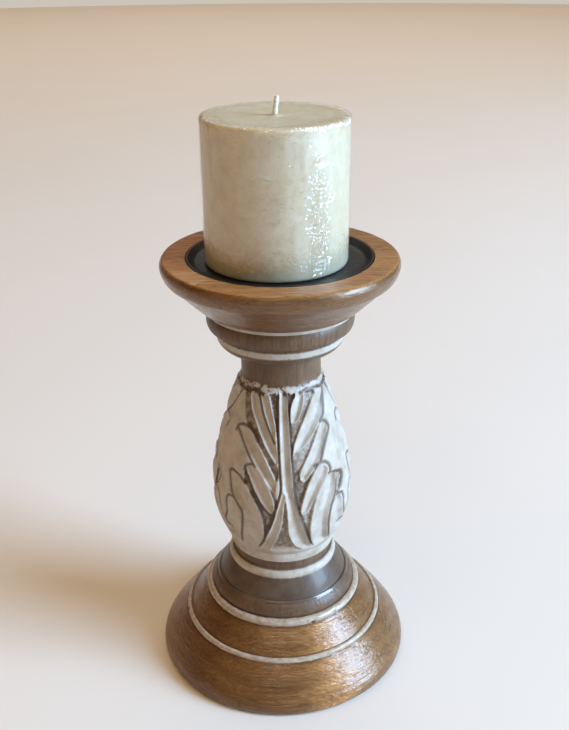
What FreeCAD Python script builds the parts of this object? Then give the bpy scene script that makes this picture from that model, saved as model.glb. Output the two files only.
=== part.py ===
import FreeCAD, Part
import math
import os
import re
import Sketcher

# Carved pillar candle holder: a turned base, a carved spindle and a turned cup of wood, a loose
# metal dish in the cup, and a 3 in pillar candle standing in the dish.
# Millimetres, +Z up. The origin is on the table, under the centre of the felt.

doc = FreeCAD.newDocument("candle_holder")

# Driving dimensions. Radii end in _r, heights above the table in _z, thicknesses in _t, lengths
# in _len, and the radius of a rounded side in _arc.
DIMENSIONS = {
    # felt pad under the base
    "felt_r": 73.4,
    "felt_t": 1.2,
    # base: a low dome, a small ring, a sloping tier and a round bead, with quirks between them
    "base_r": 75.4,
    "foot_edge": 0.8,
    "rim_z": 6.0,
    "rim_edge": 0.9,
    "rim_arc": 2.4,
    "dome_arc": 100.0,
    "quirk": 0.5,
    "ring_r": 59.9,
    "ring_z": 26.0,
    "ring_in_r": 57.3,
    "ring_in_z": 28.7,
    "ring_arc": 3.6,
    "tier_r": 46.3,
    "tier_z": 40.9,
    "tier_arc": 90.0,
    "bead_r": 44.2,
    "bead_arc": 2.7,
    "seat_z": 44.8,
    # spindle, from the bottom up: plinth, foot, carved body, neck and collar
    "plinth_r": 43.3,
    "plinth_edge": 1.2,
    "band_r": 39.9,
    "band_z": 52.2,
    "band_arc": 12.0,
    "ledge_r": 39.3,
    "ledge_z": 53.2,
    "ledge_w": 1.0,
    "plinth_arc": 60.0,
    "foot_low_r": 32.0,
    "foot_low_z": 64.3,
    "foot_r": 30.2,
    "foot_z": 68.6,
    "foot_arc": 3.4,
    "groove_r": 29.2,
    "groove_z": 69.4,
    "groove_top_z": 75.0,
    "bead_low_r": 30.6,
    "bead_top_r": 31.5,
    "bead_top_z": 81.0,
    "foot_bead_arc": 12.0,
    "belly_r": 41.1,
    "belly_z": 112.0,
    "belly_low_arc": 55.0,
    "belly_high_arc": 112.0,
    "shoulder_r": 35.5,
    "shoulder_z": 147.6,
    "shoulder_arc": 240.0,
    "throat_r": 25.3,
    "throat_z": 180.0,
    "throat_arc": 12.0,
    "neck_r": 22.2,
    "neck_z": 186.0,
    "neck_top_z": 197.4,
    "neck_top_arc": 6.0,
    "collar_low_r": 28.6,
    "collar_low_z": 201.4,
    "collar_low_arc": 8.0,
    "collar_band_r": 35.0,
    "collar_band_z": 206.2,
    "collar_band_top_z": 210.8,
    "collar_cove_arc": 7.0,
    "collar_r": 39.6,
    "collar_z": 213.8,
    "collar_top_z": 222.4,
    "collar_arc": 10.0,
    "collar_neck_r": 40.3,
    "top_z": 225.6,
    # turned tenons that hold the spindle in the base and the cup
    "low_tenon_r": 14.0,
    "low_tenon_len": 18.0,
    "top_tenon_r": 12.0,
    "top_tenon_len": 13.0,
    "glue_gap": 0.5,
    # cup
    "cup_foot_r": 43.8,
    "cup_cone_r": 58.4,
    "cup_cone_z": 240.0,
    "cup_cone_arc": 400.0,
    "cup_r": 64.1,
    "cup_side_z": 248.2,
    "cup_side_arc": 9.0,
    "cup_edge": 0.8,
    "cup_z": 252.3,
    "recess_r": 50.1,
    "recess_edge": 0.4,
    "recess_depth": 4.1,
    # metal dish
    "dish_gap": 0.3,
    "dish_t": 1.0,
    "dish_floor_r": 45.4,
    "dish_bend": 1.2,
    "dish_bend_arc": 2.2,
    "dish_lip": 0.9,
    # candle, its wick, the wick's tin foot and the clear shrink sleeve
    "candle_shift": 1.5,
    "candle_r": 38.0,
    "candle_h": 76.0,
    "candle_edge": 1.6,
    "film_t": 0.2,
    "film_lap": 9.0,
    "wick_r": 1.2,
    "wick_edge": 0.4,
    "wick_out": 9.0,
    "tab_r": 9.0,
    "tab_t": 0.3,
    "tab_neck_r": 2.1,
    "tab_neck_len": 8.0,
    # screws and washer
    "screw_r": 2.4,
    "screw_clearance": 0.15,
    "screw_head_r": 4.6,
    "screw_head_t": 3.0,
    "screw_head_edge": 1.0,
    "screw_tip_len": 5.0,
    "base_screw_len": 70.0,
    "cup_screw_len": 50.0,
    "cross_w": 1.0,
    "cross_len": 5.0,
    "cross_depth": 1.6,
    "counterbore_r": 9.0,
    "counterbore_depth": 10.0,
    "washer_r": 7.5,
    "washer_t": 1.2,
    "pilot_extra": 2.0,
}

sheet = doc.addObject("Spreadsheet::Sheet", "dims")
for row, (alias, value) in enumerate(DIMENSIONS.items(), start=1):
    sheet.set(f"A{row}", alias)
    sheet.set(f"B{row}", str(value))
    sheet.setAlias(f"B{row}", alias)
doc.recompute()


def on_sheet(text):
    """An expression with each dimension's name turned into its cell of the sheet."""
    return re.sub(r"[a-z]\w*", r"dims.\g<0>", text)


def value_of(text):
    return float(sheet.evalExpression(on_sheet(text)))


# Heights and radii that several pieces share.
COUNTERBORE_Z = "felt_t + counterbore_depth"
RECESS_Z = "cup_z - recess_depth"
DISH_Z = "cup_z - recess_depth + dish_t"
CANDLE_Z = DISH_Z + " + candle_h"
WAX_FOOT_Z = DISH_Z + " + film_t"
WAX_TOP_Z = CANDLE_Z + " - film_t"
WAX_R = "candle_r - film_t"
SCREW_HOLE_R = "screw_r + screw_clearance"


# An outline lists the sides of half a section, anticlockwise, each as the radius and height of
# the corner that it ends at. The first side starts at the last corner. Only a curved side has a
# radius, and it either bulges out of the solid or is hollowed into it.
def side(radius, height):
    return (radius, height, None, False)


def bulge(radius, height, arc):
    return (radius, height, arc, False)


def hollow(radius, height, arc):
    return (radius, height, arc, True)


def curved_side(start, end, radius, is_hollow):
    """The minor arc from start to end, with its centre on the solid's side unless hollow."""
    chord = end - start
    rise = math.sqrt(radius ** 2 - (chord.Length / 2) ** 2)
    left = FreeCAD.Vector(-chord.y, chord.x, 0).normalize()
    centre = (start + end) / 2 + left * (-rise if is_hollow else rise)
    first, last = (end, start) if is_hollow else (start, end)
    first_angle = math.atan2(first.y - centre.y, first.x - centre.x)
    last_angle = math.atan2(last.y - centre.y, last.x - centre.x)
    circle = Part.Circle(centre, FreeCAD.Vector(0, 0, 1), radius)
    return Part.ArcOfCircle(circle, first_angle, last_angle)


def origin_plane(body, role):
    return next(plane for plane in body.Origin.OriginFeatures if plane.Role == role)


def add_size(sketch, expression, *constraint):
    """Add a constraint whose value follows an expression of the sheet."""
    index = sketch.addConstraint(Sketcher.Constraint(*constraint, value_of(expression)))
    sketch.setExpression(f"Constraints[{index}]", on_sheet(expression))


def hold_corner(sketch, geometry, end, radius, height):
    """Hold a corner at its radius and height, or on the sketch's own axes where either is 0."""
    if radius == "0":
        sketch.addConstraint(Sketcher.Constraint("PointOnObject", geometry, end, -2))
    else:
        add_size(sketch, radius, "DistanceX", -1, 1, geometry, end)
    if height == "0":
        sketch.addConstraint(Sketcher.Constraint("PointOnObject", geometry, end, -1))
    else:
        add_size(sketch, height, "DistanceY", -1, 1, geometry, end)


def draw_outline(sketch, outline):
    corners = [FreeCAD.Vector(value_of(entry[0]), value_of(entry[1]), 0) for entry in outline]
    for index, (_, _, arc, is_hollow) in enumerate(outline):
        start, end = corners[index - 1], corners[index]
        if arc is None:
            sketch.addGeometry(Part.LineSegment(start, end))
        else:
            sketch.addGeometry(curved_side(start, end, value_of(arc), is_hollow))
            add_size(sketch, arc, "Radius", index)
    for index, (radius, height, _, is_hollow) in enumerate(outline):
        following = (index + 1) % len(outline)
        end = 1 if is_hollow else 2
        start = 2 if outline[following][3] else 1
        sketch.addConstraint(Sketcher.Constraint("Coincident", index, end, following, start))
        hold_corner(sketch, index, end, radius, height)


def turned(name, outline):
    """A body turned about its own Z axis from an outline."""
    body = doc.addObject("PartDesign::Body", name)
    sketch = body.newObject("Sketcher::SketchObject", f"{name}_outline")
    sketch.AttachmentSupport = [(origin_plane(body, "XZ_Plane"), "")]
    sketch.MapMode = "FlatFace"
    draw_outline(sketch, outline)
    turn = body.newObject("PartDesign::Revolution", f"{name}_turning")
    turn.Profile = sketch
    turn.ReferenceAxis = (sketch, ["V_Axis"])
    turn.Angle = 360
    return body


def felt_disc():
    return turned("felt_disc", [
        side("0", "0"),
        side("felt_r", "0"),
        side("felt_r", "felt_t"),
        side("0", "felt_t"),
    ])


def base():
    socket_z = "seat_z - low_tenon_len - glue_gap"
    return turned("base", [
        side("counterbore_r", "felt_t"),
        side("base_r - foot_edge", "felt_t"),
        bulge("base_r", "felt_t + foot_edge", "foot_edge"),
        side("base_r", "rim_z - rim_edge"),
        bulge("base_r - rim_edge", "rim_z + rim_edge", "rim_arc"),
        bulge("ring_r + quirk", "ring_z - quirk", "dome_arc"),
        side("ring_r", "ring_z"),
        bulge("ring_in_r", "ring_in_z", "ring_arc"),
        side("ring_in_r - quirk", "ring_in_z"),
        bulge("tier_r + quirk", "tier_z - quirk", "tier_arc"),
        side("tier_r", "tier_z"),
        bulge("bead_r", "seat_z", "bead_arc"),
        side("low_tenon_r", "seat_z"),
        side("low_tenon_r", socket_z),
        side(SCREW_HOLE_R, socket_z),
        side(SCREW_HOLE_R, COUNTERBORE_Z),
        side("counterbore_r", COUNTERBORE_Z),
    ])


def spindle():
    low_pilot_z = COUNTERBORE_Z + " - washer_t + base_screw_len + pilot_extra"
    top_pilot_z = RECESS_Z + " - cup_screw_len - pilot_extra"
    return turned("spindle", [
        side("0", low_pilot_z),
        side("screw_r", low_pilot_z),
        side("screw_r", "seat_z - low_tenon_len"),
        side("low_tenon_r", "seat_z - low_tenon_len"),
        side("low_tenon_r", "seat_z"),
        side("plinth_r", "seat_z"),
        side("plinth_r", "seat_z + plinth_edge"),
        bulge("band_r", "band_z", "band_arc"),
        side("ledge_r", "ledge_z"),
        side("ledge_r - ledge_w", "ledge_z"),
        bulge("foot_low_r", "foot_low_z", "plinth_arc"),
        bulge("foot_r", "foot_z", "foot_arc"),
        side("groove_r", "groove_z"),
        side("groove_r", "groove_top_z"),
        side("bead_low_r", "groove_top_z"),
        bulge("bead_top_r", "bead_top_z", "foot_bead_arc"),
        bulge("belly_r", "belly_z", "belly_low_arc"),
        bulge("shoulder_r", "shoulder_z", "belly_high_arc"),
        bulge("throat_r", "throat_z", "shoulder_arc"),
        hollow("neck_r", "neck_z", "throat_arc"),
        side("neck_r", "neck_top_z"),
        hollow("collar_low_r", "collar_low_z", "neck_top_arc"),
        bulge("collar_band_r", "collar_band_z", "collar_low_arc"),
        side("collar_band_r", "collar_band_top_z"),
        hollow("collar_r", "collar_z", "collar_cove_arc"),
        bulge("collar_r", "collar_top_z", "collar_arc"),
        side("collar_neck_r", "collar_top_z"),
        side("collar_neck_r", "top_z"),
        side("top_tenon_r", "top_z"),
        side("top_tenon_r", "top_z + top_tenon_len"),
        side("screw_r", "top_z + top_tenon_len"),
        side("screw_r", top_pilot_z),
        side("0", top_pilot_z),
    ])


def cup():
    socket_z = "top_z + top_tenon_len + glue_gap"
    return turned("cup", [
        side("top_tenon_r", "top_z"),
        side("cup_foot_r", "top_z"),
        bulge("cup_cone_r", "cup_cone_z", "cup_cone_arc"),
        bulge("cup_r", "cup_side_z", "cup_side_arc"),
        side("cup_r", "cup_z - cup_edge"),
        bulge("cup_r - cup_edge", "cup_z", "cup_edge"),
        side("recess_r + recess_edge", "cup_z"),
        side("recess_r", "cup_z - recess_edge"),
        side("recess_r", RECESS_Z),
        side("screw_head_r + screw_clearance", RECESS_Z),
        side(SCREW_HOLE_R, RECESS_Z + " - screw_head_t"),
        side(SCREW_HOLE_R, socket_z),
        side("top_tenon_r", socket_z),
    ])


def dish():
    lip_r = "recess_r - dish_gap"
    return turned("dish", [
        side("0", RECESS_Z),
        side("dish_floor_r", RECESS_Z),
        bulge("dish_floor_r + dish_bend", RECESS_Z + " + dish_bend / 2", "dish_bend_arc"),
        side(lip_r, "cup_z - dish_lip"),
        side(lip_r, "cup_z"),
        side(lip_r + " - dish_lip", "cup_z"),
        side("dish_floor_r + dish_bend / 2", DISH_Z + " + dish_bend / 2"),
        hollow("dish_floor_r - dish_bend / 2", DISH_Z, "dish_bend_arc"),
        side("0", DISH_Z),
    ])


def candle_wax():
    edge = "candle_edge - film_t"
    return turned("candle_wax", [
        side("tab_r", WAX_FOOT_Z),
        side("candle_r - candle_edge", WAX_FOOT_Z),
        bulge(WAX_R, DISH_Z + " + candle_edge", edge),
        side(WAX_R, CANDLE_Z + " - candle_edge"),
        bulge("candle_r - candle_edge", WAX_TOP_Z, edge),
        side("wick_r", WAX_TOP_Z),
        side("wick_r", WAX_FOOT_Z + " + tab_neck_len"),
        side("tab_neck_r", WAX_FOOT_Z + " + tab_neck_len"),
        side("tab_neck_r", WAX_FOOT_Z + " + tab_t"),
        side("tab_r", WAX_FOOT_Z + " + tab_t"),
    ])


def candle_film():
    opening_r = "candle_r - film_lap"
    inner_edge = "candle_edge - film_t"
    return turned("candle_film", [
        side(opening_r, DISH_Z),
        side("candle_r - candle_edge", DISH_Z),
        bulge("candle_r", DISH_Z + " + candle_edge", "candle_edge"),
        side("candle_r", CANDLE_Z + " - candle_edge"),
        bulge("candle_r - candle_edge", CANDLE_Z, "candle_edge"),
        side(opening_r, CANDLE_Z),
        side(opening_r, WAX_TOP_Z),
        side("candle_r - candle_edge", WAX_TOP_Z),
        hollow(WAX_R, CANDLE_Z + " - candle_edge", inner_edge),
        side(WAX_R, DISH_Z + " + candle_edge"),
        hollow("candle_r - candle_edge", WAX_FOOT_Z, inner_edge),
        side(opening_r, WAX_FOOT_Z),
    ])


def wick_tab():
    return turned("wick_tab", [
        side("wick_r", WAX_FOOT_Z),
        side("tab_r", WAX_FOOT_Z),
        side("tab_r", WAX_FOOT_Z + " + tab_t"),
        side("tab_neck_r", WAX_FOOT_Z + " + tab_t"),
        side("tab_neck_r", WAX_FOOT_Z + " + tab_neck_len"),
        side("wick_r", WAX_FOOT_Z + " + tab_neck_len"),
    ])


def wick():
    tip_z = WAX_TOP_Z + " + wick_out"
    return turned("wick", [
        side("0", WAX_FOOT_Z),
        side("wick_r", WAX_FOOT_Z),
        side("wick_r", tip_z + " - wick_edge"),
        side("wick_r - wick_edge", tip_z),
        side("0", tip_z),
    ])


def cut_cross(screw, is_upward):
    """Cut the driver's cross into a screw head whose face is on its body's XY plane."""
    sketch = screw.newObject("Sketcher::SketchObject", f"{screw.Name}_slot")
    sketch.AttachmentSupport = [(origin_plane(screw, "XY_Plane"), "")]
    sketch.MapMode = "FlatFace"
    half_len, half_w = value_of("cross_len / 2"), value_of("cross_w / 2")
    corners = [(-half_len, -half_w), (half_len, -half_w), (half_len, half_w), (-half_len, half_w)]
    points = [FreeCAD.Vector(x, y, 0) for x, y in corners]
    for index, kind in enumerate(("Horizontal", "Vertical", "Horizontal", "Vertical")):
        sketch.addGeometry(Part.LineSegment(points[index], points[(index + 1) % 4]))
        sketch.addConstraint(Sketcher.Constraint(kind, index))
    for index in range(4):
        following = (index + 1) % 4
        sketch.addConstraint(Sketcher.Constraint("Coincident", index, 2, following, 1))
    sketch.addConstraint(Sketcher.Constraint("Symmetric", 0, 1, 2, 1, -1, 1))
    add_size(sketch, "cross_len", "Distance", 0)
    add_size(sketch, "cross_w", "Distance", 1)
    slot = screw.newObject("PartDesign::Pocket", f"{screw.Name}_slot_cut")
    slot.Profile = sketch
    slot.setExpression("Length", on_sheet("cross_depth"))
    slot.Reversed = is_upward
    cross = screw.newObject("PartDesign::PolarPattern", f"{screw.Name}_cross")
    cross.Originals = [slot]
    cross.Axis = (sketch, ["N_Axis"])
    cross.Mode = "Spacing"
    cross.Offset = 90
    cross.Occurrences = 2
    screw.Tip = cross


def base_screw():
    """Pan-head wood screw, driven up from under the base; its head's face is at its origin."""
    tip_z = "screw_head_t + base_screw_len"
    screw = turned("base_screw", [
        side("0", "0"),
        side("screw_head_r - screw_head_edge", "0"),
        bulge("screw_head_r", "screw_head_edge", "screw_head_edge"),
        side("screw_head_r", "screw_head_t"),
        side("screw_r", "screw_head_t"),
        side("screw_r", tip_z + " - screw_tip_len"),
        side("0", tip_z),
    ])
    cut_cross(screw, is_upward=True)
    head_z = COUNTERBORE_Z + " - washer_t - screw_head_t"
    screw.setExpression("Placement.Base.z", on_sheet(head_z))
    return screw


def cup_screw():
    """Countersunk wood screw, driven down through the cup; its head's face is at its origin."""
    screw = turned("cup_screw", [
        side("0", "0"),
        side("0", "-cup_screw_len"),
        side("screw_r", "screw_tip_len - cup_screw_len"),
        side("screw_r", "-screw_head_t"),
        side("screw_head_r", "0"),
    ])
    cut_cross(screw, is_upward=False)
    screw.setExpression("Placement.Base.z", on_sheet(RECESS_Z))
    return screw


def base_washer():
    return turned("base_washer", [
        side(SCREW_HOLE_R, COUNTERBORE_Z + " - washer_t"),
        side("washer_r", COUNTERBORE_Z + " - washer_t"),
        side("washer_r", COUNTERBORE_Z),
        side(SCREW_HOLE_R, COUNTERBORE_Z),
    ])


def check(parts):
    for item in doc.Objects:
        if {"Invalid", "Error"} & set(item.State):
            raise RuntimeError(f"{item.Name} did not compute: {item.State}")
    for part in parts:
        if part.Shape.isNull() or not part.Shape.isValid():
            raise RuntimeError(f"{part.Name} has no valid shape")


def write(parts):
    os.makedirs("parts", exist_ok=True)
    for part in parts:
        part.Label = part.Name
        part.Shape.exportStep(f"parts/{part.Label}.step")
        print(f"{part.Label:12} {part.Shape.Volume / 1000:8.2f} cm3")


holder = [felt_disc(), base(), spindle(), cup(), dish(), base_screw(), base_washer(), cup_screw()]
candle = [candle_wax(), candle_film(), wick_tab(), wick()]
for piece in candle:
    piece.setExpression("Placement.Base.x", on_sheet("-candle_shift"))
doc.recompute()
check(holder + candle)
write(holder + candle)
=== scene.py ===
import bpy
import math
import numpy as np
from mathutils import Matrix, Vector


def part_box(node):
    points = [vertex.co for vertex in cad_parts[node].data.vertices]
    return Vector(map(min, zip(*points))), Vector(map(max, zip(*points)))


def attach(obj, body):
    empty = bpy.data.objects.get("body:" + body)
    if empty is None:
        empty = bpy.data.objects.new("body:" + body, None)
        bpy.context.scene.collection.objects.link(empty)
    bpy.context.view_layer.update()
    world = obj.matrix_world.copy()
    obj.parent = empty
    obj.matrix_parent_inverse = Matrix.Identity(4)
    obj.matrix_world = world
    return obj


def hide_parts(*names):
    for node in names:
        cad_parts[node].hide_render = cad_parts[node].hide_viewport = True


# Carved pillar candle holder: two turned discs of brown wood, a carved and whitewashed spindle
# between them, a loose black dish, and a pillar candle in clear film.
# Shapes are worked out in millimetres and written to the meshes in metres.

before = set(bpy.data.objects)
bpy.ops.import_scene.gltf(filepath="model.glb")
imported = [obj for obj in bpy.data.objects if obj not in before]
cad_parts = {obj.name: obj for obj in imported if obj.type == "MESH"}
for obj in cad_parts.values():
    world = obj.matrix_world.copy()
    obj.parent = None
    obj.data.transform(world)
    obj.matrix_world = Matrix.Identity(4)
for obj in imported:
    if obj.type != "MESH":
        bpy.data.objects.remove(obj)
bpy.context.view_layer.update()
MM = 0.001
# Distance to the paint, in millimetres, on a piece that has none.
UNPAINTED = -9.0


# ---- outlines
# An outline lists the sides of half a section, anticlockwise, each as the radius and height of
# the corner it ends at. A side may carry a paint level: 1 is cream paint, 0 is bare wood.
def side(radius, height, paint=0):
    return (radius, height, 0.0, paint)


def bulge(radius, height, arc, paint=0):
    return (radius, height, arc, paint)


def hollow(radius, height, arc, paint=0):
    return (radius, height, -arc, paint)


def trace(outline, step, coarse=None, coarse_where=None):
    """Points along a closed outline: (points, paint distance, corner sharpness in degrees)."""
    corners = [np.array(entry[:2], float) for entry in outline]
    points, paints, corner_rows = [], [], []
    for index, (_, _, arc, paint) in enumerate(outline):
        start, end = corners[index - 1], corners[index]
        chord = end - start
        length = float(np.hypot(*chord))
        middle = (start + end) / 2
        pitch = coarse if coarse_where is not None and coarse_where(*middle) else step
        count = max(1, round(length / pitch))
        t = np.arange(1, count + 1) / count
        if arc == 0.0:
            line = start + t[:, None] * chord
        else:
            rise = math.sqrt(arc * arc - length * length / 4)
            left = np.array([-chord[1], chord[0]]) / length
            centre = middle + left * (rise if arc > 0 else -rise)
            first = math.atan2(*(start - centre)[::-1])
            last = math.atan2(*(end - centre)[::-1])
            turn = (last - first + math.pi) % (2 * math.pi) - math.pi
            angles = first + turn * t
            line = centre + abs(arc) * np.stack([np.cos(angles), np.sin(angles)], 1)
        points.extend(line)
        paints.extend([paint] * count)
        corner_rows.append(len(points) - 1)
    points = np.array(points)
    following = np.roll(points, -1, 0) - points
    before = points - np.roll(points, 1, 0)
    turn = np.arctan2(before[:, 0] * following[:, 1] - before[:, 1] * following[:, 0],
                      (before * following).sum(1))
    sharp = np.zeros(len(points))
    sharp[corner_rows] = np.abs(np.degrees(turn[corner_rows]))
    # Signed distance along the outline to the nearest edge of the paint.
    along = np.cumsum(np.hypot(before[:, 0], before[:, 1]))
    paints = np.array(paints)
    edges = along[np.nonzero(paints != np.roll(paints, -1))[0]]
    if len(edges):
        distance = np.abs(along[:, None] - edges[None]).min(1)
        distance = np.where(paints == 1, distance, -distance)
    else:
        distance = np.full(len(points), UNPAINTED)
    return points, distance, sharp


def outline_normals(points):
    """The outward normal at each point of an anticlockwise outline."""
    ahead = np.roll(points, -1, 0) - np.roll(points, 1, 0)
    normal = np.stack([ahead[:, 1], -ahead[:, 0]], 1)
    return normal / np.maximum(np.hypot(*normal.T), 1e-9)[:, None]


# ---- seeded noise
def lattice(ix, iy, iz, seed):
    mixed = (ix * 374761393 + iy * 668265263 + iz * 1440662683 + seed * 1274126177) & 0xFFFFFFFF
    mixed = ((mixed ^ (mixed >> 13)) * 1274126177) & 0xFFFFFFFF
    return ((mixed ^ (mixed >> 16)) & 0xFFFF) / 32767.5 - 1.0


def noise(x, y, z, cell, seed, octaves=1):
    """Smooth noise from -1 to 1 over points in millimetres, cell millimetres across."""
    total, weight, size = 0.0, 0.0, 1.0
    for octave in range(octaves):
        px, py, pz = (np.asarray(v) / (cell * size) for v in (x, y, z))
        ix, iy, iz = (np.floor(v).astype(np.int64) for v in (px, py, pz))
        fx, fy, fz = px - ix, py - iy, pz - iz
        fx, fy, fz = (v * v * (3 - 2 * v) for v in (fx, fy, fz))
        value = 0.0
        for dx in (0, 1):
            for dy in (0, 1):
                for dz in (0, 1):
                    share = ((fx if dx else 1 - fx) * (fy if dy else 1 - fy)
                             * (fz if dz else 1 - fz))
                    value = value + share * lattice(ix + dx, iy + dy, iz + dz, seed + octave)
        total = total + value * size
        weight += size
        size *= 0.5
    return total / weight


def smooth(low, high, value):
    t = np.clip((value - low) / (high - low), 0, 1)
    return t * t * (3 - 2 * t)


def band(value, low, inner_low, inner_high, high):
    """1 between the two inner levels, fading to 0 at low and at high."""
    return smooth(low, inner_low, value) * (1 - smooth(inner_high, high, value))


# ---- turned meshes
def column_angles(columns):
    return np.arange(columns) / columns * 2 * math.pi - math.pi / 2


def turned_grid(rows, columns):
    """The x, y and z of a turned grid, in millimetres, and each column's degrees from the
    front."""
    angles = column_angles(columns)
    x = rows[:, :1] * np.cos(angles)[None]
    y = rows[:, :1] * np.sin(angles)[None]
    around = (np.degrees(angles) + 90 + 180) % 360 - 180
    return x, y, np.broadcast_to(rows[:, 1:], x.shape), around[None]


def turned_faces(on_axis, columns):
    """Quads between neighbouring rows, and triangles where a row shrinks to a pole."""
    column = np.arange(columns)
    beside = (column + 1) % columns
    faces = []
    for row, pole in enumerate(on_axis):
        following = (row + 1) % len(on_axis)
        low, high = row * columns, following * columns
        ring = [low + column, low + beside, high + beside, high + column]
        if pole and on_axis[following]:
            continue
        if pole:
            ring = [np.full(columns, low)] + ring[2:]
        elif on_axis[following]:
            ring = ring[:2] + [np.full(columns, high)]
        faces.extend(np.stack(ring, 1).tolist())
    return faces


def turned(name, rows, columns, move, body, material, replaced, hard, attributes=None,
           shift=0.0, lift=0.0):
    """A closed mesh turned about Z, from rows of (radius, height) moved along their normals and
    then lifted. The edges along the rows marked hard stay sharp."""
    normals = outline_normals(rows)
    angles = column_angles(columns)
    radii = rows[:, :1] + move * normals[:, :1]
    heights = rows[:, 1:] + (move * normals[:, 1:] + lift)
    x = radii * np.cos(angles)[None] + shift
    y = radii * np.sin(angles)[None]
    vertices = np.stack([x, y, np.broadcast_to(heights, x.shape)], 2).reshape(-1, 3) * MM
    on_axis = rows[:, 0] < 1e-6
    # A row on the axis keeps only its first vertex.
    kept = np.repeat(~on_axis, columns)
    kept[np.nonzero(on_axis)[0] * columns] = True
    index = np.cumsum(kept) - 1
    faces = [[int(index[v]) for v in face] for face in turned_faces(on_axis, columns)]
    mesh = bpy.data.meshes.new(name)
    mesh.from_pydata(vertices[kept].tolist(), [], faces)
    mesh.update(calc_edges=True)
    mesh.polygons.foreach_set("use_smooth", np.ones(len(faces), bool))
    row_of = np.repeat(np.arange(len(rows)), columns)[kept]
    ends = np.zeros(len(mesh.edges) * 2, np.int32)
    mesh.edges.foreach_get("vertices", ends)
    first, second = row_of[ends.reshape(-1, 2)].T
    mesh.attributes.new("sharp_edge", "BOOLEAN", "EDGE").data.foreach_set(
        "value", (first == second) & hard[first])
    for label, values in (attributes or {}).items():
        values = np.broadcast_to(values, x.shape).reshape(-1)[kept]
        mesh.attributes.new(label, "FLOAT", "POINT").data.foreach_set(
            "value", values.astype(np.float32))
    place(name, mesh, body, material, replaced)


def place(name, mesh, body, material, replaced):
    piece = bpy.data.objects.new(name, mesh)
    bpy.context.scene.collection.objects.link(piece)
    mesh.materials.append(material)
    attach(piece, body)
    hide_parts(*replaced)


# ---- shader helpers
def material(name):
    made = bpy.data.materials.new(name)
    made.use_nodes = True
    made.node_tree.nodes.clear()
    return made, made.node_tree


def node(tree, kind, inputs=None, **settings):
    made = tree.nodes.new(kind)
    for key, value in settings.items():
        setattr(made, key, value)
    for key, value in (inputs or {}).items():
        if isinstance(value, bpy.types.NodeSocket):
            tree.links.new(value, made.inputs[key])
        else:
            made.inputs[key].default_value = value
    return made


def fed(kind, inputs, **settings):
    """A node in the tree that its linked inputs come from."""
    sockets = [value for value in inputs.values() if isinstance(value, bpy.types.NodeSocket)]
    return node(sockets[0].id_data, kind, inputs, **settings)


def maths(operation, first, second=0.0, third=0.0):
    return fed("ShaderNodeMath", {0: first, 1: second, 2: third}, operation=operation).outputs[0]


def plus(first, second):
    return maths("ADD", first, second)


def times(first, second):
    return maths("MULTIPLY", first, second)


def spread(value, factor, offset):
    return maths("MULTIPLY_ADD", value, factor, offset)


def vector_maths(operation, first, second):
    return fed("ShaderNodeVectorMath", {0: first, 1: second}, operation=operation).outputs[0]


def stretch(vector, factors):
    return vector_maths("MULTIPLY", vector, factors)


def mix(share, first, second):
    first, second = ((*v, 1.0) if isinstance(v, tuple) else v for v in (first, second))
    return fed("ShaderNodeMix", {0: share, 6: first, 7: second}, data_type="RGBA").outputs[2]


def mix_value(share, first, second):
    return fed("ShaderNodeMix", {0: share, 2: first, 3: second}).outputs[0]


def level(value, low, high):
    """Value from low to high, spread smoothly from 0 to 1."""
    return fed("ShaderNodeMapRange", {0: value, 1: low, 2: high, 3: 0.0, 4: 1.0},
               interpolation_type="SMOOTHSTEP").outputs[0]


def grain(vector, size, detail=3.0, rough=0.55, distortion=0.0):
    """Noise from 0 to 1 whose features are about size millimetres."""
    return fed("ShaderNodeTexNoise",
               {"Vector": vector, "Scale": 1.0 / size, "Detail": detail, "Roughness": rough,
                "Distortion": distortion}).outputs[0]


def ramp(value, *stops):
    made = fed("ShaderNodeValToRGB", {0: value})
    elements = made.color_ramp.elements
    while len(elements) < len(stops):
        elements.new(0.5)
    for element, (position, colour) in zip(elements, stops):
        element.position = position
        element.color = (*colour, 1.0)
    return made.outputs[0]


def millimetres(tree, order=(0, 1, 2)):
    """The surface point in millimetres, with its axes in the order given."""
    point = node(tree, "ShaderNodeTexCoord").outputs["Object"]
    scaled = stretch(point, (1000.0, 1000.0, 1000.0))
    if order == (0, 1, 2):
        return scaled
    split = fed("ShaderNodeSeparateXYZ", {0: scaled}).outputs
    return fed("ShaderNodeCombineXYZ", {i: split[axis] for i, axis in enumerate(order)}).outputs[0]


def attribute(tree, name):
    return node(tree, "ShaderNodeAttribute", attribute_name=name).outputs["Fac"]


def bump(height, distance_mm, strength=1.0, normal=None):
    inputs = {"Height": height, "Distance": distance_mm * MM, "Strength": strength}
    if normal is not None:
        inputs["Normal"] = normal
    return fed("ShaderNodeBump", inputs).outputs[0]


def output(shader):
    fed("ShaderNodeOutputMaterial", {0: shader.outputs[0]})


def finish_material(**inputs):
    """The inputs are the principled shader's, with _ for each space."""
    output(fed("ShaderNodeBsdfPrincipled",
               {key.replace("_", " "): value for key, value in inputs.items()}))


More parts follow.
